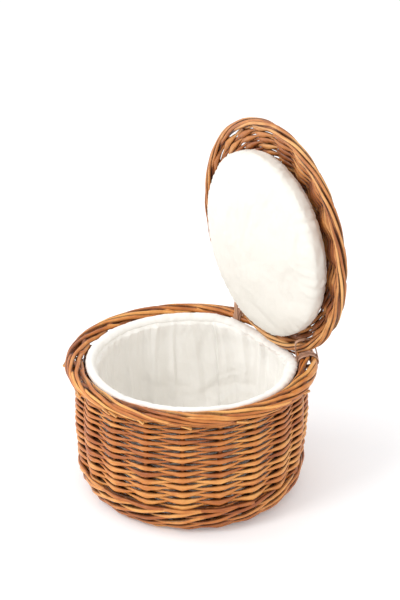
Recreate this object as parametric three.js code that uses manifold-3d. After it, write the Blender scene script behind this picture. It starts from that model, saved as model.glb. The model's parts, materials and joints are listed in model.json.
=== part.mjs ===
// Round willow basket with a hinged domed lid, a cloth liner and a lid pad.
// Millimetres, +Z up. The origin is the centre of the underside; the hinge is at the back, on +Y.
import * as THREE from "three";
import { mergeVertices } from "three/addons/utils/BufferGeometryUtils.js";
import Module from "manifold-3d";

const wasm = await Module();
wasm.setup();

// Driving dimensions
const GAP = 0.35; // clearance between pieces that touch
const FOOT_RADIUS = 115;
const FOOT_TOP = 36;
const BASE_RADIUS = 103;
const BASE_THICKNESS = 10.6;
const STICK_RADIUS = 2;
const STICK_LAYERS = [3.1, 7.5]; // heights of the two crossed layers of base sticks
const STICK_SPACING = 5.2;
const STICK_REACH = BASE_RADIUS + GAP; // the sticks end just past the edge of the base weave
const STAKES = 20;
const STAKE_RADIUS = 2.5;
const STAKE_FOOT = 12;
const STAKE_TOP = 149;
const WALL_TOP = 149;
const WALL_HALF = 6; // half the thickness of the woven wall
const BORDER_RADIUS = 138.5;
const BORDER_HEIGHT = 158;
const BORDER_HALF_WIDTH = 11.25;
const BORDER_HALF_DEPTH = 7.6;
const SEAT_HALF_LENGTH = 90; // the border is lower and narrower where the lid turns over it
const SEAT_DROP = 7;
const SEAT_NARROWING = 3;
const CLOTH = 2;
const HEM_RADIUS = 119.2;
const HEM_HEIGHT = 157.4;
const HEM_HALF_WIDTH = 6;
const HEM_HALF_DEPTH = 4.6;
const HEM_DROP = 13.5;
const HINGE_Y = 114;
const HINGE_Z = 172.8;
const HINGE_X = 70;
const LID_OPEN = 87; // degrees from closed to the open stop
const LID_FORWARD = 6.5; // the closed lid sits this far forward of the basket's axis
const LID_BORDER_RADIUS = 136.5;
const LID_BORDER_HEIGHT = 176; // of the closed lid
const LID_BORDER_THICKNESS = 6.3;
const LID_RISE = 24;
const LID_HALF = 3.6; // half the thickness of the woven lid
const RIBS = 20;
const RIB_RADIUS = 1.7;
const RIB_START = 22;
const PAD_RADIUS = 112.5;
const PAD_TOP = 178.3;
const PAD_BOTTOM = 148;
const LASHING_WIDTH = 6;
const LASHING_THICKNESS = 1.8;

const point = (x, y, z) => new THREE.Vector3(x, y, z);
const turn = (degrees) => THREE.MathUtils.degToRad(degrees);

// Colours and finishes
const finish = (color, roughness) => new THREE.MeshStandardMaterial({ color, roughness, metalness: 0 });
const varnishedWillow = () => finish("#c8813f", 0.45);
const darkWillow = () => finish("#9a5f30", 0.55);
const cotton = () => finish("#f3f0ea", 0.9);
const calico = () => finish("#efe6d2", 0.9);

// Solids: joining and cutting
function asSolid(geometry) {
  const bare = geometry.index ? geometry.toNonIndexed() : geometry.clone();
  bare.deleteAttribute("normal");
  bare.deleteAttribute("uv");
  const merged = mergeVertices(bare, 1e-3);
  const triVerts = new Uint32Array(merged.index.array);
  const vertProperties = new Float32Array(merged.attributes.position.array);
  return new wasm.Manifold(new wasm.Mesh({ numProp: 3, vertProperties, triVerts }));
}

function asGeometry(solid) {
  const mesh = solid.getMesh();
  const geometry = new THREE.BufferGeometry();
  geometry.setAttribute("position", new THREE.BufferAttribute(new Float32Array(mesh.vertProperties), 3));
  geometry.setIndex(new THREE.BufferAttribute(new Uint32Array(mesh.triVerts), 1));
  geometry.computeVertexNormals();
  return geometry;
}

// Cuts the cutters out of a solid and drops any loose sliver that leaves.
function cut(geometry, cutters) {
  let solid = asSolid(geometry);
  for (const cutter of cutters) solid = solid.subtract(asSolid(cutter));
  const pieces = solid.decompose();
  pieces.sort((one, other) => other.volume() - one.volume());
  return asGeometry(pieces[0]);
}

// A solid of revolution about Z. The closed profile holds [radius, height] pairs, anticlockwise.
function turned(profile, segments) {
  const points = profile.map(([radius, height]) => new THREE.Vector2(radius, height));
  return new THREE.LatheGeometry(points, segments).rotateX(Math.PI / 2);
}

// An oval ring about Z: half the section's width and depth about (radius, height).
function ring(radius, height, halfWidth, halfDepth, segments, sides) {
  const profile = [];
  for (let i = 0; i <= sides; i++) {
    const angle = ((i % sides) / sides) * 2 * Math.PI;
    profile.push([radius + halfWidth * Math.cos(angle), height + halfDepth * Math.sin(angle)]);
  }
  return turned(profile, segments);
}

// A round rod along a curve.
function rod(curve, radius, steps, sides = 6) {
  const section = new THREE.Shape();
  for (let i = 0; i < sides; i++) {
    const angle = (i / sides) * 2 * Math.PI;
    const [x, y] = [radius * Math.cos(angle), radius * Math.sin(angle)];
    if (i === 0) section.moveTo(x, y);
    else section.lineTo(x, y);
  }
  section.closePath();
  return new THREE.ExtrudeGeometry(section, { extrudePath: curve, steps, bevelEnabled: false });
}

// How far a place on a ring is inside the hinge seat: 1 at the middle of the back, 0 outside it.
function seat(x, y) {
  if (y <= 0 || Math.abs(x) >= SEAT_HALF_LENGTH) return 0;
  return 0.5 + 0.5 * Math.cos((Math.PI * x) / SEAT_HALF_LENGTH);
}

// Lowers a ring in the hinge seat and draws its inner side outwards.
function seated(geometry, drop, narrowing, radius, halfWidth) {
  const places = geometry.attributes.position;
  for (let i = 0; i < places.count; i++) {
    const [x, y, z] = [places.getX(i), places.getY(i), places.getZ(i)];
    const reach = Math.hypot(x, y);
    const share = seat((x * radius) / reach, (y * radius) / reach);
    const inward = (radius + halfWidth - reach) / (2 * halfWidth);
    const wider = (reach + share * narrowing * inward) / reach;
    places.setXYZ(i, x * wider, y * wider, z - share * drop);
  }
  return geometry;
}

const root = new THREE.Group();
const lid = new THREE.Group();
lid.position.set(0, HINGE_Y, HINGE_Z);
lid.rotation.x = -turn(LID_OPEN);
root.add(lid);

function add(group, name, geometry, material) {
  const mesh = new THREE.Mesh(geometry, material);
  mesh.name = name;
  if (group === lid) mesh.position.set(0, -HINGE_Y - LID_FORWARD, -HINGE_Z);
  group.add(mesh);
}

// Middle line of the woven wall: radius at a height, as the stakes stand.
const wallLine = new THREE.SplineCurve(
  [
    [113, 8],
    [119.5, 14],
    [127, 27],
    [131.5, 52],
    [134.6, 90],
    [133.8, 125],
    [132.5, 149.5],
  ].map(([radius, height]) => new THREE.Vector2(radius, height)),
);

function wallRadius(height) {
  let [low, high] = [0, 1];
  for (let i = 0; i < 24; i++) {
    const middle = (low + high) / 2;
    if (wallLine.getPoint(middle).y < height) low = middle;
    else high = middle;
  }
  return wallLine.getPoint(low).x;
}

// Side stakes: uprights from the foot waling to the border
class StakeCurve extends THREE.Curve {
  constructor(angle, bottom, top) {
    super();
    Object.assign(this, { angle, bottom, top });
  }
  getPoint(t) {
    const height = THREE.MathUtils.lerp(this.bottom, this.top, t);
    const radius = wallRadius(height);
    return point(radius * Math.cos(this.angle), radius * Math.sin(this.angle), height);
  }
}

const stakeAngle = (i) => (i / STAKES) * 2 * Math.PI;
const STAKE_STEPS = 4;
const stakeTunnels = [];
for (let i = 0; i < STAKES; i++) {
  const drop = SEAT_DROP * seat(wallRadius(STAKE_TOP) * Math.cos(stakeAngle(i)), Math.sin(stakeAngle(i)));
  const stake = new StakeCurve(stakeAngle(i), STAKE_FOOT, STAKE_TOP - drop);
  add(root, `stake_${String(i + 1).padStart(2, "0")}`, rod(stake, STAKE_RADIUS, STAKE_STEPS), darkWillow());
  const tunnel = new StakeCurve(stakeAngle(i), STAKE_FOOT - GAP, STAKE_TOP + BORDER_HALF_DEPTH);
  stakeTunnels.push(rod(tunnel, STAKE_RADIUS + 3 * GAP, STAKE_STEPS));
}

// Base sticks: two crossed layers of four, fanned out to sixteen spokes
function baseStick(layer, place, radius) {
  const offset = (place - 1.5) * STICK_SPACING;
  const fan = turn((place - 1.5) * 22.5);
  const half = [point(14, offset, 0), point(34, offset * 1.7, 0)];
  half.push(point(STICK_REACH * Math.cos(fan), STICK_REACH * Math.sin(fan), 0));
  const whole = [...half.map((p) => point(-p.x, p.y, 0)).reverse(), ...half];
  const curve = new THREE.CatmullRomCurve3(whole, false, "centripetal");
  const stick = rod(curve, radius, 7);
  if (layer === 1) stick.rotateZ(Math.PI / 2);
  return stick.translate(0, 0, STICK_LAYERS[layer]);
}

const stickTunnels = [];
for (const layer of [0, 1]) {
  for (let place = 0; place < 4; place++) {
    const number = layer * 4 + place + 1;
    add(root, `base_stick_${number}`, baseStick(layer, place, STICK_RADIUS), darkWillow());
    stickTunnels.push(baseStick(layer, place, STICK_RADIUS + GAP));
  }
}

// Woven base round the sticks
const basePlate = turned(
  [
    [0, 0],
    [BASE_RADIUS - 2, 0],
    [BASE_RADIUS, 2],
    [BASE_RADIUS, BASE_THICKNESS],
    [0, BASE_THICKNESS],
  ],
  40,
);
add(root, "base_weave", cut(basePlate, stickTunnels), varnishedWillow());

// Foot waling: thick rods round the turn of the wall, the part that meets the table
const footRing = turned(
  [
    [BASE_RADIUS + 4 * GAP, 0],
    [FOOT_RADIUS, 0],
    [FOOT_RADIUS + 8, 5],
    [FOOT_RADIUS + 14, 14],
    [wallRadius(FOOT_TOP) + WALL_HALF, FOOT_TOP],
    [wallRadius(FOOT_TOP) - WALL_HALF, FOOT_TOP],
    [FOOT_RADIUS - 3.5, BASE_THICKNESS + 2],
    [BASE_RADIUS + 4 * GAP, BASE_THICKNESS],
    [BASE_RADIUS + 4 * GAP, 0],
  ],
  40,
);

// Woven wall between the foot waling and the border
const wallHeights = [FOOT_TOP + GAP, 45, 68, 95, 122, WALL_TOP];
const wallShell = turned(
  [
    ...wallHeights.map((z) => [wallRadius(z) + WALL_HALF, z]),
    ...[...wallHeights].reverse().map((z) => [wallRadius(z) - WALL_HALF, z]),
    [wallRadius(wallHeights[0]) + WALL_HALF, wallHeights[0]],
  ],
  40,
);

// Rolled border: the stakes laid down over each other into a thick rim
const border = (spare) =>
  seated(
    ring(BORDER_RADIUS, BORDER_HEIGHT, BORDER_HALF_WIDTH + spare, BORDER_HALF_DEPTH + spare, 60, 10),
    SEAT_DROP,
    SEAT_NARROWING,
    BORDER_RADIUS,
    BORDER_HALF_WIDTH,
  );

// Lashing: an upright loop round the border and the lid's own border, one at each side of the back
const LASHING_ANGLE = Math.asin(HINGE_X / BORDER_RADIUS);
function lashing(side, spare) {
  const outline = (grow) => [
    [BORDER_RADIUS - BORDER_HALF_WIDTH + 1 - grow, BORDER_HEIGHT - BORDER_HALF_DEPTH - 1 - grow],
    [BORDER_RADIUS + BORDER_HALF_WIDTH - 1 + grow, BORDER_HEIGHT - BORDER_HALF_DEPTH - 1 - grow],
    [BORDER_RADIUS + BORDER_HALF_WIDTH + 1 + grow, BORDER_HEIGHT],
    [BORDER_RADIUS + BORDER_HALF_WIDTH - 3 + grow, BORDER_HEIGHT + 13],
    [BORDER_RADIUS + 4.5 + grow, HINGE_Z + 13 + grow],
    [BORDER_RADIUS - 10 - grow, HINGE_Z + 13 + grow],
    [BORDER_RADIUS - BORDER_HALF_WIDTH - 3 - grow, HINGE_Z + 6],
    [BORDER_RADIUS - BORDER_HALF_WIDTH - 3 - grow, HINGE_Z - 5],
    [BORDER_RADIUS - BORDER_HALF_WIDTH - 0.8 - grow, BORDER_HEIGHT - 2],
  ];
  const corners = (grow) => outline(grow).map(([across, up]) => new THREE.Vector2(across, up));
  const shape = new THREE.Shape(corners(LASHING_THICKNESS + spare));
  shape.holes.push(new THREE.Path(corners(-spare).reverse()));
  const depth = LASHING_WIDTH + 2 * spare;
  const loop = new THREE.ExtrudeGeometry(shape, { depth, bevelEnabled: false });
  loop.translate(0, 0, -depth / 2).rotateX(Math.PI / 2);
  return loop.rotateZ(Math.PI / 2 - side * LASHING_ANGLE);
}

const SIDES = { left: -1, right: 1 };
const lashingSlots = Object.values(SIDES).map((side) => lashing(side, GAP));
for (const [name, side] of Object.entries(SIDES))
  add(root, `hinge_lashing_${name}`, lashing(side, 0), darkWillow());

const borderRoom = border(2 * GAP);
add(root, "foot_wale", cut(footRing, stakeTunnels), varnishedWillow());
add(root, "side_weave", cut(wallShell, [...stakeTunnels, ...lashingSlots, borderRoom]), varnishedWillow());
add(root, "rolled_border", border(0), varnishedWillow());

// Cloth liner: an open bag inside the wall, and the rolled hem round its mouth
const linerLine = [
  [104, BASE_THICKNESS + GAP + 0.2],
  [113, 17],
  [118, 27],
  [122.3, 52],
  [124.2, 90],
  [124, 120],
  [HEM_RADIUS + 5, HEM_HEIGHT - HEM_HALF_DEPTH - HEM_DROP - GAP],
];
const linerBag = turned(
  [
    [0, linerLine[0][1]],
    ...linerLine,
    ...linerLine.slice(1).reverse().map(([radius, height]) => [radius - CLOTH, height]),
    [linerLine[0][0] - CLOTH, linerLine[0][1] + CLOTH],
    [0, linerLine[0][1] + CLOTH],
  ],
  40,
);
add(root, "liner_bag", linerBag, cotton());

const hem = seated(
  ring(HEM_RADIUS, HEM_HEIGHT, HEM_HALF_WIDTH, HEM_HALF_DEPTH, 56, 8),
  HEM_DROP,
  0,
  HEM_RADIUS,
  HEM_HALF_WIDTH,
);
add(root, "liner_hem", cut(hem, [...lashingSlots, borderRoom]), cotton());

// Lid, drawn closed: its border, ribs, domed weave and pad
const lidHeight = (radius) => LID_BORDER_HEIGHT + 1 + LID_RISE * (1 - (radius / LID_BORDER_RADIUS) ** 2);
const lidBorder = ring(
  LID_BORDER_RADIUS, LID_BORDER_HEIGHT, LID_BORDER_THICKNESS, LID_BORDER_THICKNESS, 60, 8);
add(lid, "lid_border", lidBorder, varnishedWillow());

const LID_WEAVE_RADIUS = LID_BORDER_RADIUS - LID_BORDER_THICKNESS - 2 * GAP;
function lidRib(number, start, end, radius) {
  const angle = ((number + 0.5) / RIBS) * 2 * Math.PI;
  const places = [0, 0.5, 1].map((share) => {
    const out = THREE.MathUtils.lerp(start, end, share);
    return point(out * Math.cos(angle), out * Math.sin(angle), lidHeight(out));
  });
  return rod(new THREE.CatmullRomCurve3(places), radius, 3);
}

const ribTunnels = [];
for (let i = 0; i < RIBS; i++) {
  const rib = lidRib(i, RIB_START, LID_WEAVE_RADIUS - 1, RIB_RADIUS);
  add(lid, `lid_rib_${String(i + 1).padStart(2, "0")}`, rib, darkWillow());
  ribTunnels.push(lidRib(i, RIB_START - GAP, LID_WEAVE_RADIUS + 6, RIB_RADIUS + 2 * GAP));
}

const lidRadii = [LID_WEAVE_RADIUS, 110, 82, 50, 0];
const lidShell = turned(
  [
    ...[...lidRadii].reverse().map((radius) => [radius, lidHeight(radius) - LID_HALF]),
    ...lidRadii.map((radius) => [radius, lidHeight(radius) + LID_HALF]),
  ],
  40,
);

// Room that the lashings sweep through the lid as it turns
const sweptSlots = [];
const SWEEP_STEP = 6;
for (let angle = 0; angle <= LID_OPEN + SWEEP_STEP; angle += SWEEP_STEP) {
  for (const side of Object.values(SIDES)) {
    const slot = lashing(side, 3 * GAP).translate(0, -HINGE_Y, -HINGE_Z);
    sweptSlots.push(slot.rotateX(turn(Math.min(angle, LID_OPEN))).translate(0, HINGE_Y + LID_FORWARD, HINGE_Z));
  }
}
add(lid, "lid_weave", cut(lidShell, [...ribTunnels, ...sweptSlots]), varnishedWillow());

const lidPad = turned(
  [
    [0, PAD_BOTTOM],
    [PAD_RADIUS - 28, PAD_BOTTOM + 0.6],
    [PAD_RADIUS - 13, PAD_BOTTOM + 3],
    [PAD_RADIUS - 4, PAD_BOTTOM + 7.5],
    [PAD_RADIUS, PAD_BOTTOM + 14],
    [PAD_RADIUS - 1, PAD_TOP - 2.5],
    [PAD_RADIUS - 5, PAD_TOP],
    [0, PAD_TOP],
  ],
  40,
).translate(0, LID_FORWARD, 0); // the pad is centred over the basket's mouth
add(lid, "lid_pad", lidPad, calico());

export default root;
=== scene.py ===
import json
import math

import bmesh
import bpy
import numpy as np
from mathutils import Matrix, Vector


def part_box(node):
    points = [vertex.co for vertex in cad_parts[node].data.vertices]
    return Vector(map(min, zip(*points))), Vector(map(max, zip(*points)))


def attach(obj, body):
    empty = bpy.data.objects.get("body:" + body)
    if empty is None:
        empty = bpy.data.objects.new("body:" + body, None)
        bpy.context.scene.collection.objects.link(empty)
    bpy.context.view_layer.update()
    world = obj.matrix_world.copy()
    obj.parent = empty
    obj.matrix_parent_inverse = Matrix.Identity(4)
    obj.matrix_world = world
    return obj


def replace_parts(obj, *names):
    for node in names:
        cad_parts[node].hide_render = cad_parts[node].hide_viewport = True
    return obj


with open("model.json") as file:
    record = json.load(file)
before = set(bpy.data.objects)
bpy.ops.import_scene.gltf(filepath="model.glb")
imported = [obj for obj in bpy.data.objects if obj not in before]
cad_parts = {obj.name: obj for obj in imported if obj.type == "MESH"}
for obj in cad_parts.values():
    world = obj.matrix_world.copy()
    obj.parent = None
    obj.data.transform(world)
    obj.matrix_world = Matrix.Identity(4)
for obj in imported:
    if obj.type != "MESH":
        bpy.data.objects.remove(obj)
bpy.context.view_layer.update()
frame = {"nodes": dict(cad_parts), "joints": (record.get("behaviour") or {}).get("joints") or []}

MM = 0.001
TURN = 2 * math.pi

# Sizes shared with the CAD model
STAKES = 20
STAKE_RADIUS = 2.5 * MM
FOOT_TOP = 36 * MM
WALL_TOP = 149 * MM
BORDER_RADIUS = 138.5 * MM
BORDER_HEIGHT = 158 * MM
BORDER_HALF_WIDTH = 11.25 * MM
BORDER_HALF_DEPTH = 7.6 * MM
SEAT_HALF_LENGTH = 90 * MM
SEAT_DROP = 7 * MM
SEAT_NARROWING = 3 * MM
SEAT_BEND_START = 0.1  # the wall's rows start to bend down to the seat at this height
SEAT_BEND_SPAN = 0.049
HEM_RADIUS = 119.2 * MM
HEM_HEIGHT = 157.4 * MM
HEM_HALF_WIDTH = 6 * MM
HEM_HALF_DEPTH = 4.6 * MM
HEM_DROP = 13.5 * MM
LID_FORWARD = 6.5 * MM  # the closed lid sits this far forward of the basket's axis
LID_BORDER_RADIUS = 136.5 * MM
LID_BORDER_HEIGHT = 176 * MM
LID_BORDER_THICKNESS = 6.3 * MM
LID_RISE = 24 * MM
LID_WEAVE_RADIUS = 129.5 * MM
LID_RIBS = 20
PAD_RADIUS = 112.7 * MM
HINGE_X = 70 * MM

hinge = frame["joints"][0]
HINGE_PLACE = Vector(hinge["pos_m"])
LID_OPEN = math.radians(hinge["range_deg"][1])
# Takes a place on the lid, drawn closed and centred on the Z axis, to where it stands at rest.
FORWARD = Vector((0, LID_FORWARD, 0))
LID_AT_REST = (
    Matrix.Translation(HINGE_PLACE)
    @ Matrix.Rotation(-LID_OPEN, 4, "X")
    @ Matrix.Translation(-HINGE_PLACE - FORWARD)
)

chance = np.random.default_rng(11)


# ---------------------------------------------------------------- small helpers


def smooth_line(points, count=400):
    """A curve through the points, as rows of finely spaced places."""
    p = np.array(points, float)
    p = np.vstack([2 * p[0] - p[1], p, 2 * p[-1] - p[-2]])
    rows = []
    for t in np.linspace(0, len(points) - 1 - 1e-9, count):
        i = int(t)
        a, b, c, d = p[i : i + 4]
        f = t - i
        square, cube = 2 * a - 5 * b + 4 * c - d, 3 * b - a - 3 * c + d
        rows.append(0.5 * (2 * b + (c - a) * f + square * f**2 + cube * f**3))
    return np.array(rows)


def wander(along, size, waves=4, longest=1.0):
    """A smooth uneven line round zero, of the given size."""
    total = np.zeros_like(along)
    for k in range(waves):
        step = longest / (1 + 1.7 * k)
        total += np.sin(along * TURN / step + chance.uniform(0, TURN)) / (1 + k)
    return total * size / 1.5


def unit(v):
    return v / np.maximum(np.linalg.norm(v, axis=-1, keepdims=True), 1e-12)


def round_z(angle, radius, height):
    """Places at an angle round the Z axis."""
    return np.stack([radius * np.cos(angle), radius * np.sin(angle), height + 0 * angle], -1)


def seat(x, y):
    """How far a place on a ring is inside the hinge seat: 1 at the middle of the back, 0 outside it."""
    share = 0.5 + 0.5 * np.cos(np.pi * np.clip(np.abs(x) / SEAT_HALF_LENGTH, 0, 1))
    return np.where(y > 0, share, 0)


# The middle line of the woven wall, radius by height, as the stakes stand.
WALL = smooth_line(
    [(113, 8), (119.5, 14), (127, 27), (131.5, 52), (134.6, 90), (133.8, 125), (132.5, 149.5)]
) * MM


def wall_radius(height):
    return np.interp(height, WALL[:, 1], WALL[:, 0])


def lid_height(radius):
    return LID_BORDER_HEIGHT + 1 * MM + LID_RISE * (1 - (radius / LID_BORDER_RADIUS) ** 2)


# ---------------------------------------------------------------- rods into meshes


EDGE_SHADE = 0.95  # painted shade: how much darker the sides of a rod are than its face
# Painted shade on the sides of the border's rods, stronger than on the wall's.
BORDER_EDGE_SHADE = 1.15


class Rods:
    """Gathers many rods into one mesh. Each point of a rod has a tone, which is the rod's own colour,
    and a tuck shade, which is painted shade:
    how far it dives behind its neighbours, plus the darker sides that face them."""

    def __init__(self):
        self.places, self.faces, self.tones, self.tucks, self.maps = [], [], [], [], []
        self.count = 0

    def add(self, line, outward, across, thick, tone, tuck=0.0, sides=8, edge_shade=EDGE_SHADE):
        """A rod along a line.

        across and thick are its half sizes, along outward and at right angles to it."""
        line = np.array(line, float)
        n = len(line)
        ahead = unit(np.gradient(line, axis=0))
        out = outward - (outward * ahead).sum(1, keepdims=True) * ahead
        out = unit(out)
        up = np.cross(ahead, out)
        angle = np.arange(sides) / sides * TURN
        across, thick = (np.broadcast_to(v, (n,))[:, None, None] for v in (across, thick))
        ring = (
            out[:, None] * np.cos(angle)[None, :, None] * across
            + up[:, None] * np.sin(angle)[None, :, None] * thick
        )
        places = (line[:, None] + ring).reshape(-1, 3)
        caps = np.stack([line[0] - ahead[0] * across[0, 0] * 0.3, line[-1] + ahead[-1] * across[-1, 0] * 0.3])
        first = self.count
        self.places.append(np.vstack([places, caps]))
        i, j = np.meshgrid(np.arange(n - 1), np.arange(sides), indexing="ij")
        k = (j + 1) % sides
        quads = np.stack([i * sides + j, i * sides + k, (i + 1) * sides + k, (i + 1) * sides + j], -1)
        self.faces += (quads.reshape(-1, 4) + first).tolist()
        tail = (n - 1) * sides
        for j in range(sides):
            k = (j + 1) % sides
            self.faces.append([first + n * sides, first + k, first + j])
            self.faces.append([first + n * sides + 1, first + tail + j, first + tail + k])
        travelled = np.concatenate([[0], np.cumsum(np.linalg.norm(np.diff(line, axis=0), axis=1))])
        travelled += chance.uniform(0, 5)
        # Painted shade: the sides that face its neighbours are darker than the sides that face out and in, as if
        # shaded by them.
        edge = np.concatenate([np.tile(edge_shade * (1 - np.abs(np.cos(angle))), n), [0, 0]])
        for store, value, more in ((self.tones, tone, 0), (self.tucks, tuck, edge)):
            value = np.broadcast_to(value, (n,))
            store.append(np.concatenate([np.repeat(value, sides), [value[0], value[-1]]]) + more)
        grain = np.stack([np.repeat(travelled, sides), np.tile(np.arange(sides) / sides, n)], -1)
        self.maps.append(np.vstack([grain, [travelled[0], 0], [travelled[-1], 0]]))
        self.count += n * sides + 2

    def piece(self, name, material, body, slot, matrix=None):
        """The finished mesh object, riding on its body."""
        mesh = bpy.data.meshes.new(name)
        mesh.from_pydata(np.vstack(self.places).tolist(), [], self.faces)
        if matrix is not None:
            mesh.transform(matrix)
        for label, values in (("tone", self.tones), ("tuck", self.tucks)):
            mesh.attributes.new(label, "FLOAT", "POINT").data.foreach_set("value", np.concatenate(values))
        grain = np.vstack(self.maps)
        vectors = np.concatenate([grain, np.zeros((len(grain), 1))], 1)
        mesh.attributes.new("grain", "FLOAT_VECTOR", "POINT").data.foreach_set("vector", vectors.ravel())
        return placed(name, mesh, material, body)


def placed(name, mesh, material, body):
    """A mesh as a smooth-shaded piece that rides on a body."""
    mesh.polygons.foreach_set("use_smooth", [True] * len(mesh.polygons))
    mesh.materials.append(material)
    piece = bpy.data.objects.new(name, mesh)
    bpy.context.scene.collection.objects.link(piece)
    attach(piece, body)
    return piece


# ---------------------------------------------------------------- materials


class Nodes:
    """Short calls for building a material's node tree."""

    def __init__(self, name):
        self.material = bpy.data.materials.new(name)
        self.material.use_nodes = True
        self.tree = self.material.node_tree
        self.shader = self.tree.nodes["Principled BSDF"]

    def new(self, kind, **settings):
        node = self.tree.nodes.new(kind)
        for key, value in settings.items():
            if key in node.inputs:
                node.inputs[key].default_value = value
            else:
                setattr(node, key, value)
        return node

    def join(self, output, target):
        self.tree.links.new(output, target)

    def ramp(self, value, stops):
        ramp = self.new("ShaderNodeValToRGB")
        while len(ramp.color_ramp.elements) < len(stops):
            ramp.color_ramp.elements.new(0.5)
        for element, (place, colour) in zip(ramp.color_ramp.elements, stops):
            element.position = place
            element.color = (*colour, 1)
        self.join(value, ramp.inputs["Fac"])
        return ramp.outputs["Color"]

    def mix(self, mode, share, a, b):
        node = self.new("ShaderNodeMix", data_type="RGBA", blend_type=mode)
        for socket, value in (("Factor", share), ("A", a), ("B", b)):
            target = [s for s in node.inputs if s.name == socket and s.enabled][0]
            if hasattr(value, "is_output"):
                self.join(value, target)
            elif isinstance(value, (int, float)):
                target.default_value = value
            else:
                target.default_value = (*value, 1)
        return [s for s in node.outputs if s.enabled][0]

    def attribute(self, name, output="Fac"):
        return self.new("ShaderNodeAttribute", attribute_name=name).outputs[output]

    def maths(self, operation, *values):
        node = self.new("ShaderNodeMath", operation=operation)
        for socket, value in zip(node.inputs, values):
            if hasattr(value, "is_output"):
                self.join(value, socket)
            else:
                socket.default_value = value
        return node.outputs[0]

    def set(self, **values):
        for key, value in values.items():
            self.shader.inputs[key.replace("_", " ")].default_value = value

    def bump(self, height, strength, distance, under=None):
        node = self.new("ShaderNodeBump", Strength=strength, Distance=distance)
        self.join(height, node.inputs["Height"])
        if under is not None:
            self.join(under, node.inputs["Normal"])
        return node.outputs["Normal"]


def willow(name, stops, shadow, roughness):
    """Varnished willow rod: a colour for each rod, grain and marks along it, and painted shade where it is
    tucked in and on its sides.
    """
    n = Nodes(name)
    grain = n.attribute("grain", "Vector")
    place = n.new("ShaderNodeTexCoord").outputs["Object"]
    stretched = n.new("ShaderNodeMapping")
    stretched.inputs["Scale"].default_value = (55, 5, 1)
    n.join(grain, stretched.inputs["Vector"])
    streaks = n.new("ShaderNodeTexNoise", Scale=1.0, Detail=4.0, Roughness=0.6)
    n.join(stretched.outputs["Vector"], streaks.inputs["Vector"])
    blotches = n.new("ShaderNodeTexNoise", Scale=42.0, Detail=3.0, Roughness=0.55)
    n.join(place, blotches.inputs["Vector"])
    fine = n.new("ShaderNodeTexNoise", Scale=420.0, Detail=2.0, Roughness=0.6)
    n.join(place, fine.inputs["Vector"])
    streaked = n.maths("MULTIPLY", n.maths("SUBTRACT", streaks.outputs["Fac"], 0.5), 0.9)
    tone = n.maths("ADD", n.attribute("tone"), streaked)
    tone = n.maths("ADD", tone, n.maths("MULTIPLY", n.maths("SUBTRACT", blotches.outputs["Fac"], 0.5), 0.8))
    colour = n.ramp(tone, stops)
    # Painted shade: fine noise makes the tuck shade uneven, and it mixes the colour toward the shadow colour.
    uneven = n.maths("MULTIPLY", n.maths("SUBTRACT", fine.outputs["Fac"], 0.5), 0.5)
    depth = n.maths("ADD", n.attribute("tuck"), uneven)
    amount = n.new("ShaderNodeMapRange", interpolation_type="SMOOTHSTEP")
    n.join(depth, amount.inputs["Value"])
    amount.inputs["From Min"].default_value = 0.15
    amount.inputs["From Max"].default_value = 1.15
    colour = n.mix("MIX", n.maths("MULTIPLY", amount.outputs["Result"], 0.88), colour, shadow)
    n.join(colour, n.shader.inputs["Base Color"])
    rough = n.new("ShaderNodeMapRange")
    n.join(streaks.outputs["Fac"], rough.inputs["Value"])
    rough.inputs["To Min"].default_value = roughness - 0.1
    rough.inputs["To Max"].default_value = roughness + 0.12
    n.join(rough.outputs["Result"], n.shader.inputs["Roughness"])
    n.set(Coat_Weight=0.2, Coat_Roughness=0.28, Specular_IOR_Level=0.38)
    lines = n.bump(streaks.outputs["Fac"], 0.5, 0.0006)
    n.join(n.bump(fine.outputs["Fac"], 0.25, 0.0003, lines), n.shader.inputs["Normal"])
    return n.material


def cotton(name, light, shade, crumple):
    """Plain-woven cotton: fine crossed threads, soft crumples, a faint sheen, and painted shade that follows the
    crumples.
    """
    n = Nodes(name)
    place = n.new("ShaderNodeTexCoord").outputs["Object"]
    soft = n.new("ShaderNodeTexNoise", Scale=22.0, Detail=4.0, Roughness=0.55)
    n.join(place, soft.inputs["Vector"])
    # Painted shade: the crumple noise mixes the colour from the lit copy of the cotton to the shaded copy.
    shaded = n.maths("MULTIPLY", soft.outputs["Fac"], 0.8)
    n.join(n.mix("MIX", shaded, light, shade), n.shader.inputs["Base Color"])
    threads = None
    for direction in ("X", "Z"):
        wave = n.new("ShaderNodeTexWave", Scale=380.0, Distortion=1.5, bands_direction=direction)
        wave.inputs["Detail Scale"].default_value = 2.0
        n.join(place, wave.inputs["Vector"])
        threads = wave.outputs["Fac"] if threads is None else n.maths("ADD", threads, wave.outputs["Fac"])
    normal = n.bump(threads, 0.22, 0.0002)
    normal = n.bump(soft.outputs["Fac"], crumple, 0.004, normal)
    broad = n.new("ShaderNodeTexNoise", Scale=11.0, Detail=2.0, Distortion=1.2)
    n.join(place, broad.inputs["Vector"])
    n.join(n.bump(broad.outputs["Fac"], crumple, 0.012, normal), n.shader.inputs["Normal"])
    n.set(Roughness=0.92, Sheen_Weight=0.25, Sheen_Roughness=0.5, Specular_IOR_Level=0.2)
    return n.material


GOLDEN = [
    (0.0, (0.19, 0.038, 0.006)), (0.35, (0.37, 0.096, 0.014)),
    (0.65, (0.57, 0.19, 0.034)), (1.0, (0.81, 0.39, 0.105)),
]
TANNED = [
    (0.0, (0.18, 0.046, 0.011)), (0.35, (0.36, 0.11, 0.026)),
    (0.65, (0.54, 0.205, 0.054)), (1.0, (0.78, 0.41, 0.145)),
]
# The dark brown that the painted shade mixes in on tucked parts and on the sides of rods.
TUCK_SHADE_BROWN = (0.034, 0.007, 0.002)

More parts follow.
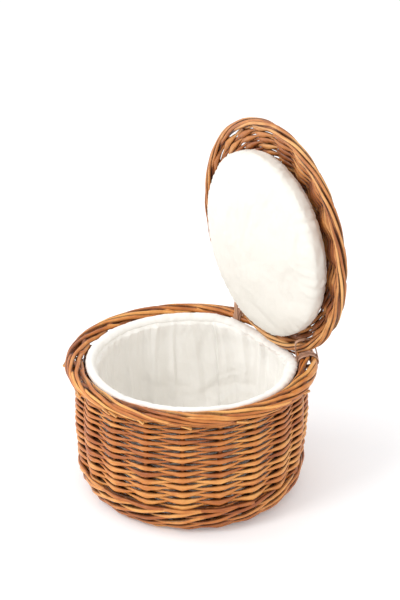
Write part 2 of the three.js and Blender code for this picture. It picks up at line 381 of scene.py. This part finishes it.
wall_willow = willow("wall_willow", GOLDEN, TUCK_SHADE_BROWN, 0.42)
border_willow = willow("border_willow", GOLDEN, TUCK_SHADE_BROWN, 0.4)
lid_willow = willow("lid_willow", TANNED, TUCK_SHADE_BROWN, 0.45)
stake_willow = willow("stake_willow", TANNED, TUCK_SHADE_BROWN, 0.5)
SKEIN = [(0.0, (0.33, 0.16, 0.09)), (0.5, (0.55, 0.31, 0.2)), (1.0, (0.75, 0.5, 0.36))]
skein_willow = willow("skein_willow", SKEIN, TUCK_SHADE_BROWN, 0.5)
liner_cotton = cotton("liner_cotton", (0.91, 0.89, 0.85), (0.83, 0.805, 0.755), 0.85)
pad_cotton = cotton("pad_cotton", (0.78, 0.75, 0.69), (0.71, 0.68, 0.615), 0.9)


# ---------------------------------------------------------------- weaving


def bent_wave(swing):
    """Straight floats that turn sharply at a stake, from a swing between -1 and 1."""
    return 1 - 2 / np.pi * np.arccos(np.clip(swing, -1, 1))


def weave(
    rods, rows, stakes, surface, lift, thick, tones,
    starts=8, rod_length=8, per_stake=8, phase=0.0, sides=8, seen_inside=False,
):
    """Rods that climb round the stakes, going outside one and inside the next; neighbouring rows alternate.

    surface(row, angle) gives places and outward normals; lift and thick are functions of the row: how far a rod
    stands off the middle line, and half the height that it fills."""
    for strand in range(starts):
        first, last = -strand / starts, (rows - strand) / starts
        angle = np.linspace(first, last, int((last - first) * stakes * per_stake)) * TURN
        row = strand + starts * angle / TURN
        swing = np.cos(stakes / 2 * (angle - phase))
        wave = (-1) ** strand * (0.45 * swing + 0.55 * bent_wave(swing))
        drifted = row + wander(angle, 0.16, longest=1.3) + wander(angle, 0.07, longest=0.31)
        place, normal = surface(drifted, angle)
        line = place + normal * ((lift(row) * wave + wander(angle, 0.3 * MM, longest=0.7))[:, None])
        # A rod spans an even count of gaps. A new, thicker butt starts where the old thin tip ends,
        # behind a stake.
        hidden = phase * stakes / TURN + 1 + strand + 2 * (3 * strand % 4)
        along = (angle * stakes / TURN - hidden) / rod_length + 100
        tip = along - np.floor(along)
        tone = tones[0] + (tones[1] - tones[0]) * chance.random(400)[np.floor(along).astype(int)]
        # It is thickest where it crosses a stake, and packs closely where it runs behind one.
        size = thick(row) * (1.1 - 0.18 * tip) * (0.46 + 0.57 * np.abs(wave))
        size = size * (1 + 0.2 * np.clip(-wave, 0, 1))
        # Painted shade: darker where the rod runs behind a stake; when seen_inside, darker midway between
        # stakes, where it passes through the weave.
        tuck = np.clip(0.3 - np.abs(wave), 0, 1) if seen_inside else np.clip(-0.12 - 1.25 * wave, 0, 1)
        rods.add(line, normal, size * 0.72, size, tone, tuck, sides)


def wall_surface(row_height):
    """Places and outward normals on the woven wall, for heights that row_height gives for rows."""

    def surface(row, angle):
        height = row_height(row)
        radius = wall_radius(height)
        lean = np.gradient(WALL[:, 0], WALL[:, 1])
        slope = np.interp(height, WALL[:, 1], lean)
        normal = unit(np.stack([np.cos(angle), np.sin(angle), -slope], -1))
        bend = np.clip((height - SEAT_BEND_START) / SEAT_BEND_SPAN, 0, 1)
        drop = SEAT_DROP * seat(radius * np.cos(angle), radius * np.sin(angle)) * bend
        return round_z(angle, radius, height - drop), normal

    return surface


WALL_ROWS = 28
BOTTOM_PITCH = 5.2 * MM


def wall_row_height(row):
    """Rows are closer together towards the top, where the rods are thinner."""
    low, high = FOOT_TOP - 3 * MM, WALL_TOP + 1 * MM
    share = row / WALL_ROWS
    bend = BOTTOM_PITCH * WALL_ROWS / (high - low)
    return low + (high - low) * (bend * share + (1 - bend) * share**2)


def side_weave():
    rods = Rods()

    def half_pitch(row):
        return np.clip(wall_row_height(row + 0.5) - wall_row_height(row - 0.5), 2 * MM, None) / 2

    weave(
        rods, WALL_ROWS, STAKES, wall_surface(wall_row_height),
        lift=lambda row: STAKE_RADIUS + 0.75 * half_pitch(row),
        thick=lambda row: 1.5 * half_pitch(row),
        tones=(0.38, 0.86), per_stake=12,
    )
    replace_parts(rods.piece("side_weave_rods", wall_willow, "basket", "willow"), "side_weave")


def side_stakes():
    rods = Rods()
    for i in range(STAKES):
        angle = i / STAKES * TURN
        low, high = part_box(f"stake_{i + 1:02d}")
        height = np.linspace(low[2], high[2] + 2 * MM, 40)
        line = round_z(np.full(40, angle), wall_radius(height), height)
        outward = np.tile([math.cos(angle), math.sin(angle), 0.0], (40, 1))
        # Painted shade: the stakes stand behind the weave, so all of each is darkened a little.
        rods.add(line, outward, STAKE_RADIUS, STAKE_RADIUS * 1.15, 0.35, 0.45, 10)
    piece = rods.piece("side_stakes", stake_willow, "basket", "willow_stakes")
    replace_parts(piece, *[f"stake_{i + 1:02d}" for i in range(STAKES)])


def foot_wale():
    """Three-rod waling: each thick rod goes in front of two stakes and behind one.

    It climbs four times round, and runs level once more at each end."""
    rods = Rods()
    outline = smooth_line(
        [(105.8, 3.2), (112.5, 3.2), (119, 7.2), (125.5, 14.5), (130.2, 24), (132.6, 36.5)]
    ) * MM
    travelled = np.concatenate([[0], np.cumsum(np.hypot(*np.diff(outline, axis=0).T))])
    rounds, strands = 4, 3
    pitch = travelled[-1] / rounds
    for strand in range(strands):
        # The level rounds close the steps that the climbing rods would leave at the ends.
        angle = np.linspace(-1, rounds + 1, (rounds + 2) * STAKES * 8) * TURN
        beat = angle * STAKES / TURN / strands - strand / strands
        swing = np.cos(TURN * beat)
        out = 0.5 * swing + 0.5 * bent_wave(swing)
        along = pitch * (angle / TURN) * (1 - 0.5 / rounds) + pitch * (0.42 * np.sin(TURN * beat) + 0.12)
        along = np.clip(along + wander(angle, 0.5 * MM, longest=0.9), 0, travelled[-1])
        radius, height = (np.interp(along, travelled, outline[:, c]) for c in (0, 1))
        lean = np.gradient(outline[:, 0], outline[:, 1])
        slope = np.interp(along, travelled, lean)
        normal = unit(np.stack([np.cos(angle), np.sin(angle), -slope], -1))
        lift = np.where(out > -0.2, 1.6 * MM + 2.6 * MM * out, 1.1 * MM * (1 + 3.5 * (out + 0.2)))
        size = 2.6 * MM * (0.8 + 0.3 * np.clip(out, -1, 1))
        line = round_z(angle, radius, height) + normal * lift[:, None]
        line[:, 2] = np.maximum(line[:, 2], size * 0.95)
        rod = np.floor((beat + 0.5) / 2 + 5).astype(int)  # a rod ends behind every second stake it passes
        tone = 0.35 + 0.6 * chance.random(40)[rod]
        # Painted shade: darker where the rod runs behind the stakes.
        tuck = np.clip(0.45 - out, 0, 1)
        rods.add(line, normal, size * 0.85, size, tone, tuck, 8)
    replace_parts(rods.piece("foot_wale_rods", wall_willow, "basket", "willow"), "foot_wale")


# ---------------------------------------------------------------- rolled borders


def border_place(angle, turn_angle, inset):
    """A place in the border's section, at inset from its skin, turn_angle round from the outer side."""
    share = seat(BORDER_RADIUS * np.cos(angle), BORDER_RADIUS * np.sin(angle))
    middle = BORDER_RADIUS + SEAT_NARROWING / 2 * share
    wide = BORDER_HALF_WIDTH - SEAT_NARROWING / 2 * share - inset
    radius = middle + wide * np.cos(turn_angle)
    height = BORDER_HEIGHT - SEAT_DROP * share + (BORDER_HALF_DEPTH - inset) * np.sin(turn_angle)
    normal = round_z(angle, np.cos(turn_angle), 0) + np.stack([0 * angle, 0 * angle, np.sin(turn_angle)], -1)
    return round_z(angle, radius, height), unit(normal)


def lid_border_place(angle, turn_angle, inset):
    radius = LID_BORDER_RADIUS + (LID_BORDER_THICKNESS - inset) * np.cos(turn_angle)
    height = LID_BORDER_HEIGHT + (LID_BORDER_THICKNESS - inset) * np.sin(turn_angle)
    normal = round_z(angle, np.cos(turn_angle), 0) + np.stack([0 * angle, 0 * angle, np.sin(turn_angle)], -1)
    return round_z(angle, radius, height), unit(normal)


def rolled(rods, place, count, span, sweep, half, tones, sides=8, loose=1.0):
    """Stakes laid down one over the next.

    Each starts on one side of the border, sweeps over and is tucked under.

    span is how many gaps a stake covers, sweep the turn_angle where it starts and ends, half its half thickness,
    and loose how far it strays from its neighbours."""
    steps = 60
    for i in range(count):
        share = np.linspace(0, 1, steps)
        length = span + loose * chance.uniform(-0.35, 0.35)
        angle = (i + share * length) / count * TURN + wander(share, 0.004)
        size = half * (1.15 - 0.38 * share) * chance.uniform(0.88, 1.1)
        ends = np.clip(np.minimum(share / 0.09, (1 - share) / 0.14), 0, 1)
        ends = ends * ends * (3 - 2 * ends)
        swept = share**1.1 + 0.012 * np.sin(share * length * TURN)  # a dip where it crosses each stake
        astray = wander(share, 0.07, 2) + chance.uniform(-0.09, 0.09)
        turned = sweep[0] + (sweep[1] - sweep[0]) * swept + loose * astray
        sunk = 0.25 * MM * (1 + np.sin(share * length * TURN + chance.uniform(-0.6, 0.6)))
        line, normal = place(angle, turned, size + sunk + (1 - ends) * half * 1.1)
        tone = chance.uniform(*tones) + 0 * share
        across, thick = size * (0.55 + 0.45 * ends), size * (0.7 + 0.34 * ends)
        # Painted shade: the ends, tucked under their neighbours, are darker.
        rods.add(line, normal, across, thick, tone, 0.9 * (1 - ends), sides, BORDER_EDGE_SHADE)


def rolled_border():
    rods = Rods()
    rolled(
        rods, border_place, STAKES, 4.6, (math.radians(208), math.radians(-52)),
        2.55 * MM, (0.42, 1.0), 10,
    )
    # Where a stake comes up between its neighbours on the inside, it crosses them steeply.
    rolled(
        rods, border_place, STAKES, 1.25, (math.radians(258), math.radians(118)),
        2.3 * MM, (0.25, 0.8), 8, 0.5,
    )
    # Side shoots laid along the outside, thinner than the stakes.
    rolled(rods, border_place, STAKES, 2.6, (math.radians(60), math.radians(-62)), 1.75 * MM, (0.3, 1.0), 8)
    # The inner filling: a twisted pair that shows only as shade between the outer strands, so it is given
    # painted shade.
    for start in (0, math.pi):
        angle = np.linspace(0, TURN, 500)
        line, normal = border_place(angle, start + angle * 7, 5.2 * MM)
        rods.add(line, normal, 3.2 * MM, 3.2 * MM, 0.3, 0.5, 8)
    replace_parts(rods.piece("rolled_border_rods", border_willow, "basket", "willow"), "rolled_border")


def cut_ends():
    """Short trimmed rod ends that poke out under the border here and there."""
    rods = Rods()
    for degrees in (-98, -93, -74, -70, -55, -36, -12, 28, 150, 205, 238):
        angle = math.radians(degrees)
        share = np.linspace(0, 1, 6)
        angles = angle + share * chance.uniform(0.04, 0.09)
        turned = math.radians(chance.uniform(-50, -20)) + 0 * share
        line, normal = border_place(angles, turned, 1.2 * MM)
        line = line + normal * (share * 3.2 * MM)[:, None]
        rods.add(line, normal, 1.7 * MM, 1.8 * MM, chance.uniform(0.8, 1.05), 0.0, 8)
    rods.piece("border_cut_ends", border_willow, "basket", "willow")


# ---------------------------------------------------------------- lid


def lid_surface(row_radius):
    def surface(row, angle):
        radius = row_radius(row)
        slope = -2 * LID_RISE * radius / LID_BORDER_RADIUS**2
        normal = unit(np.stack([-slope * np.cos(angle), -slope * np.sin(angle), 1 + 0 * angle], -1))
        return round_z(angle, radius, lid_height(radius)), normal

    return surface


LID_PITCH = 3.9 * MM
LID_MIDDLE = 64 * MM  # inside this radius the rods go over the ribs two by two


def lid_weave():
    rods = Rods()
    outer, inner = LID_WEAVE_RADIUS + 4.5 * MM, 19 * MM
    outer_rows = int((outer - LID_MIDDLE) / LID_PITCH)
    inner_rows = int((LID_MIDDLE - inner) / LID_PITCH)
    phase = math.pi / LID_RIBS
    rows = dict(lift=lambda row: 2.8 * MM + 0 * row, thick=lambda row: 3.3 * MM + 0 * row, tones=(0.2, 0.9),
                seen_inside=True)
    outer_line = lambda row: LID_MIDDLE + LID_PITCH * (row + 0.5)
    inner_line = lambda row: inner + LID_PITCH * (row + 0.5)
    weave(rods, outer_rows, LID_RIBS, lid_surface(outer_line), phase=phase, **rows)
    weave(
        rods, inner_rows, LID_RIBS // 2, lid_surface(inner_line),
        phase=phase * 2, starts=4, per_stake=16, **rows,
    )
    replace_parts(rods.piece("lid_weave_rods", lid_willow, "lid", "willow", LID_AT_REST), "lid_weave")


def lid_ribs():
    rods = Rods()
    for i in range(LID_RIBS):
        angle = (i + 0.5) / LID_RIBS * TURN
        radius = np.linspace(6 * MM, LID_BORDER_RADIUS - 3 * MM, 40)
        line = round_z(np.full(40, angle), radius, lid_height(radius))
        outward = np.tile([0.0, 0.0, 1.0], (40, 1))
        # Painted shade: the ribs lie under the weave, so all of each is darkened a little.
        rods.add(line, outward, 1.7 * MM, 1.8 * MM, 0.35, 0.4, 8)
    # The crossed sticks at the crown, bound by the first rows of the weave.
    for layer in range(2):
        for k in range(4):
            reach = np.linspace(-24 * MM, 24 * MM, 12)
            offset = (k - 1.5) * 4.2 * MM + 0 * reach
            x, y = (reach, offset) if layer == 0 else (offset, reach)
            line = np.stack([x, y, lid_height(np.hypot(x, y)) + (2.2 if layer else -2.2) * MM], -1)
            # A slight painted shade on the crossed sticks.
            rods.add(line, np.tile([0.0, 0.0, 1.0], (12, 1)), 1.9 * MM, 1.9 * MM, 0.6, 0.1, 8)
    piece = rods.piece("lid_ribs", lid_willow, "lid", "willow_stakes", LID_AT_REST)
    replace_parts(piece, *[f"lid_rib_{i + 1:02d}" for i in range(LID_RIBS)])


def lid_border():
    rods = Rods()
    rolled(
        rods, lid_border_place, LID_RIBS, 4.6, (math.radians(-165), math.radians(95)),
        1.95 * MM, (0.3, 0.95), 8,
    )
    rolled(
        rods, lid_border_place, LID_RIBS, 3.0, (math.radians(40), math.radians(165)),
        1.8 * MM, (0.3, 0.9), 8,
    )
    angle = np.linspace(0, TURN, 400)
    for start in (0, math.pi):
        line, normal = lid_border_place(angle, start + angle * 9, 4.0 * MM)
        # Painted shade on the filling, which lies deep between the outer strands.
        rods.add(line, normal, 2.3 * MM, 2.3 * MM, 0.3, 0.35, 8)
    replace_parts(rods.piece("lid_border_rods", lid_willow, "lid", "willow", LID_AT_REST), "lid_border")


# ---------------------------------------------------------------- base


def base_weave():
    rods = Rods()
    low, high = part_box("base_weave")
    middle, reach = (low[2] + high[2]) / 2, high[0]
    pitch, inner = 5.0 * MM, 15 * MM
    rows = int((reach - 2 * MM - inner) / pitch)

    def surface(row, angle):
        radius = inner + pitch * (row + 0.5)
        normal = np.stack([0 * angle, 0 * angle, 0 * angle - 1], -1)
        return round_z(angle, radius, middle), normal

    weave(rods, rows, 16, surface, phase=math.radians(11.25), tones=(0.25, 0.9), starts=4,
          lift=lambda row: 2.6 * MM + 0 * row, thick=lambda row: 2.7 * MM + 0 * row)
    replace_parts(rods.piece("base_weave_rods", wall_willow, "basket", "willow"), "base_weave")


# ---------------------------------------------------------------- hinge lashings


LASHING_HALF = 1.35 * MM  # half the width of the split willow
LASHING_THIN = 0.8 * MM  # half its thickness


def lashing(name, side, node):
    """Split willow wound tightly round the border, then tied over the lid's border."""
    rods = Rods()
    angle = math.pi / 2 - side * math.asin(HINGE_X / BORDER_RADIUS)
    along = np.array((-math.sin(angle), math.cos(angle), 0)) * side
    out = np.array((math.cos(angle), math.sin(angle), 0))
    sunk = SEAT_DROP * float(seat(BORDER_RADIUS * math.cos(angle), BORDER_RADIUS * math.sin(angle)))
    # The tie leaves room for the lid's border to shift inside it, from where it is closed to where
    # it is open.
    shut = Vector((side * HINGE_X, math.sqrt(LID_BORDER_RADIUS**2 - HINGE_X**2), LID_BORDER_HEIGHT))
    opened, closed = LID_AT_REST @ shut, shut - FORWARD
    near, far = math.hypot(closed.x, closed.y), math.hypot(opened.x, opened.y)
    low = (BORDER_RADIUS, BORDER_HEIGHT - sunk, BORDER_HALF_WIDTH, BORDER_HALF_DEPTH)
    high = ((near + far) / 2, (opened.z + closed.z) / 2, LID_BORDER_THICKNESS + (far - near) / 2 + 1.4 * MM,
            LID_BORDER_THICKNESS + 1.6 * MM)

    def wound(turns, start, end, tied, skin):
        theta = np.linspace(0.25, turns, int(turns * 44)) * TURN
        up = np.sin(theta)
        # A tie spans both rings; a tight turn stays on the lower one.
        share = (tied * np.clip(up * 1.6 + 0.35, 0, 1))[:, None]
        centre = (1 - share) * np.array(low[:2]) + share * np.array(high[:2])
        half = (1 - share) * np.array(low[2:]) + share * np.array(high[2:]) + skin
        radius = centre[:, 0] + half[:, 0] * np.cos(theta)
        height = centre[:, 1] + half[:, 1] * up
        drift = np.linspace(start, end, len(theta)) + wander(theta, 0.35 * MM, longest=4)
        line = np.outer(radius, out) + np.outer(drift, along) + np.outer(height, [0, 0, 1])
        outward = np.outer(np.cos(theta), out) + np.outer(up, [0, 0, 1])
        tone = 0.45 + wander(theta, 0.2, longest=5)
        rods.add(line, outward, LASHING_THIN, LASHING_HALF, tone, 0.0, 8)

    wound(4.4, -6.5 * MM, 4.5 * MM, 0.0, 0.9 * MM)
    wound(3.2, -3.8 * MM, 0.6 * MM, 1.0, 1.6 * MM)
    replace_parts(rods.piece(name, skein_willow, "basket", "willow_stakes"), node)


# ---------------------------------------------------------------- cloth


def grid_mesh(name, places, closed_rows=True):
    """A mesh from a grid of places; columns close on themselves."""
    rows, columns = places.shape[:2]
    mesh = bpy.data.meshes.new(name)
    faces = []
    for i in range(rows - 1):
        for j in range(columns):
            k = (j + 1) % columns
            faces.append([i * columns + j, i * columns + k, (i + 1) * columns + k, (i + 1) * columns + j])
    points = places.reshape(-1, 3).tolist()
    if closed_rows:
        faces.append([columns - 1 - j for j in range(columns)])
        faces.append([(rows - 1) * columns + j for j in range(columns)])
    mesh.from_pydata(points, [], faces)
    return mesh


def hem_drop(angle):
    return HEM_DROP * seat(HEM_RADIUS * np.cos(angle), HEM_RADIUS * np.sin(angle))


GATHERED_AT = math.radians(62)  # the cloth is gathered most at the back right


def turned_from(angle, place):
    """How far an angle is from a place on the ring, between half a turn back and half a turn on."""
    return (angle - place + math.pi) % TURN - math.pi


def hem():
    """The puffy rolled hem: a soft tube round the mouth of the liner, puckered by its elastic."""
    columns, sides = 420, 20
    angle = np.arange(columns) / columns * TURN
    puff = 1 + wander(angle, 0.13, 4, longest=TURN / 4) + wander(angle, 0.06, 3, longest=TURN / 34)
    slack = wander(angle, 0.6 * MM, 4, longest=TURN / 6)
    gathered = 0.35 + np.exp(-(turned_from(angle, GATHERED_AT) / 0.6) ** 2)
    pucker = wander(angle, 0.9 * MM, 3, longest=TURN / 60) * gathered
    rows = []
    for k in range(sides + 1):
        turned = k / sides * TURN
        inward = slack * (math.cos(turned) < 0) * math.cos(turned)
        wide = HEM_HALF_WIDTH * (0.94 + 0.06 * puff) * math.cos(turned) + inward
        deep = HEM_HALF_DEPTH * puff * math.sin(turned)
        lean = -2.2 * MM * math.cos(turned)
        radius = HEM_RADIUS + wide + pucker * (math.sin(turned) > -0.3)
        height = HEM_HEIGHT - hem_drop(angle) + deep - lean * 0.6 - 0.6 * MM
        rows.append(round_z(angle, radius, height))
    mesh = grid_mesh("liner_hem_cloth", np.array(rows[:-1] + rows[:1]), closed_rows=False)
    piece = placed("liner_hem_cloth", mesh, liner_cotton, "basket")
    merge(piece)
    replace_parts(piece, "liner_hem")
    return piece


def merge(piece):
    """Joins the points of a mesh that lie in the same place."""
    work = bmesh.new()
    work.from_mesh(piece.data)
    bmesh.ops.remove_doubles(work, verts=work.verts, dist=1e-6)
    bmesh.ops.recalc_face_normals(work, faces=work.faces)
    work.to_mesh(piece.data)
    work.free()


LINER_LINE = smooth_line(
    [(117.5, 157.5), (113.2, 153), (112.8, 147), (114.4, 130), (113.6, 100), (111, 66),
     (107, 38), (100.5, 20.5), (85, 14.2), (40, 13.2), (0.4, 13.0)],
    150,
) * MM

SEAM = math.radians(131)
# The seam and the deeper creases: angle, depth and half width in millimetres
CREASES = [
    (SEAM, 2.4, 1.7), (SEAM + 0.026, -1.9, 1.6), (math.radians(173), 4.5, 5), (math.radians(160), 2.5, 3),
    (math.radians(97), 3, 4), (math.radians(112), 2, 7),
]


def liner():
    """The liner bag: hangs from the hem, folds down the wall and lies on the base."""
    columns = 480
    angle = np.arange(columns) / columns * TURN
    folds = wander(angle, 1.0, 4, longest=TURN / 5)
    creases = np.clip(np.abs(wander(angle, 1.0, 3, longest=TURN / 13)) - 0.35, 0, 1)
    pleats = np.abs(wander(angle, 1.0, 3, longest=TURN / 60))
    gathered = 0.5 + 1.1 * np.exp(-(turned_from(angle, GATHERED_AT) / 0.55) ** 2)
    rows = []
    for i, (radius, height) in enumerate(LINER_LINE):
        share = i / (len(LINER_LINE) - 1)
        wall = np.clip((share - 0.03) / 0.12, 0, 1) * np.clip((0.8 - share) / 0.3, 0, 1)
        slanted = angle + 0.22 * (share - 0.3) * np.sin(angle * 3 + 1)  # the folds don't hang plumb
        fold = np.interp(slanted % TURN, angle, folds, period=TURN)
        crease = np.interp((slanted + 0.3 * share * share) % TURN, angle, creases, period=TURN)
        fine = np.interp(slanted % TURN, angle, pleats, period=TURN) * np.clip(1 - share / 0.3, 0, 1)
        loose = 3.4 * np.abs(fold) * (0.3 + share * 2) + 2.6 * crease + 2.6 * fine * (gathered - 0.4)
        ridge = 0
        for place, deep, width in CREASES:
            nearness = turned_from(slanted, place) * 0.12 / (width * MM)  # the wall's radius is 0.12
            ridge = ridge + deep * MM * np.exp(-(nearness**2)) * wall
        reach = radius - loose * MM * wall - ridge
        drop = hem_drop(angle) * np.clip(1 - share / 0.35, 0, 1)
        sag = 0.8 * MM * np.sin(angle * 5 + 14 * share) * (share > 0.6)
        rows.append(round_z(angle, np.minimum(reach, radius), height - drop + sag))
    mesh = grid_mesh("liner_cloth", np.array(rows), closed_rows=False)
    mesh.flip_normals()
    piece = placed("liner_cloth", mesh, liner_cotton, "basket")
    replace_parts(piece, "liner_bag")
    return piece


def pad():
    """The lid pad: a soft board wrapped in cotton, with its edge drawn in by gathers."""
    columns = 300
    angle = np.arange(columns) / columns * TURN
    outline = smooth_line(
        [(2, 146.8), (50, 147.4), (84, 149.4), (101, 152.2), (109.5, 155.8), (113, 160.5), (113.2, 165.5),
         (111, 172), (103, 177), (60, 177.8), (2, 177.8)],
        90,
    ) * MM
    gathers = np.abs(wander(angle, 1.3, 4, longest=TURN / 30)) - 0.5
    edge_line = 1 + wander(angle, 0.008, 4, longest=TURN / 9)
    rows = []
    for radius, height in outline:
        edge = np.clip((radius / PAD_RADIUS - 0.72) / 0.28, 0, 1) ** 2
        reach = radius * (1 + (edge_line - 1) * edge) - gathers * 1.3 * MM * edge
        rows.append(round_z(angle, np.minimum(reach, PAD_RADIUS), height + gathers * 0.25 * MM * edge))
    mesh = grid_mesh("lid_pad_cloth", np.array(rows))
    mesh.transform(LID_AT_REST @ Matrix.Translation(FORWARD))  # centred over the basket's mouth
    piece = placed("lid_pad_cloth", mesh, pad_cotton, "lid")
    merge(piece)
    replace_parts(piece, "lid_pad")
    return piece


# ---------------------------------------------------------------- camera, floor and light

AZIMUTH, ELEVATION, ROLL = math.radians(57.7), math.radians(25.3), math.radians(0.4)
DISTANCE = 1.6
FOCAL_SHARE = 1378 / 600  # focal length as a share of the picture's height
AIM = (0.0097, 0.237)  # to the right of the basket's axis, and above the floor


FILM_HEIGHT = 36  # millimetres


def camera():
    data = bpy.data.cameras.new("camera")
    data.sensor_fit = "VERTICAL"
    data.sensor_height = FILM_HEIGHT
    data.lens = FILM_HEIGHT * FOCAL_SHARE
    view = bpy.data.objects.new("camera", data)
    bpy.context.scene.collection.objects.link(view)
    right = Vector((math.cos(AZIMUTH), math.sin(AZIMUTH), 0))
    level = math.cos(ELEVATION)
    back = Vector((math.sin(AZIMUTH) * level, -math.cos(AZIMUTH) * level, math.sin(ELEVATION)))
    aim = right * AIM[0] + Vector((0, 0, AIM[1]))
    view.matrix_world = (
        Matrix.Translation(aim + back * DISTANCE)
        @ Matrix((right, back.cross(right), back)).transposed().to_4x4()
        @ Matrix.Rotation(ROLL, 4, "Z")
    )
    bpy.context.scene.camera = view


def floor():
    mesh = bpy.data.meshes.new("floor")
    reach = 6
    corners = [(-reach, -reach, 0), (reach, -reach, 0), (reach, reach, 0), (-reach, reach, 0)]
    mesh.from_pydata(corners, [], [(0, 1, 2, 3)])
    n = Nodes("floor_white")
    n.set(Base_Color=(0.93, 0.935, 0.945, 1), Roughness=0.9, Specular_IOR_Level=0.1)
    n.set(Emission_Color=(0.97, 0.98, 1.0, 1), Emission_Strength=0.1)
    mesh.materials.append(n.material)
    plane = bpy.data.objects.new("floor", mesh)
    bpy.context.scene.collection.objects.link(plane)


def lamp(name, place, aim, size, power):
    data = bpy.data.lights.new(name, "AREA")
    data.size = size
    data.energy = power
    light = bpy.data.objects.new(name, data)
    bpy.context.scene.collection.objects.link(light)
    light.location = place
    light.rotation_euler = (Vector(aim) - Vector(place)).to_track_quat("-Z", "Y").to_euler()


def lighting():
    world = bpy.data.worlds.new("studio")
    world.use_nodes = True
    background = world.node_tree.nodes["Background"]
    background.inputs["Color"].default_value = (1, 1, 1, 1)
    background.inputs["Strength"].default_value = 1.0
    bpy.context.scene.world = world
    bpy.context.scene.view_settings.view_transform = "Standard"
    lamp("key", (0.2, -1.9, 1.9), (0, 0, 0.15), 0.7, 21)
    lamp("left", (-1.2, -1.3, 1.1), (0, 0, 0.15), 0.8, 9)
    lamp("right", (2.0, 0.2, 1.0), (0, 0, 0.2), 1.2, 4)


camera()
side_stakes()
side_weave()
foot_wale()
rolled_border()
cut_ends()
base_weave()
lid_weave()
lid_ribs()
lid_border()
lashing("lashing_left", -1, "hinge_lashing_left")
lashing("lashing_right", 1, "hinge_lashing_right")
hem_piece = hem()
liner_piece = liner()
pad()
for number in range(1, 9):
    frame["nodes"][f"base_stick_{number}"].data.materials[0] = stake_willow
floor()
lighting()
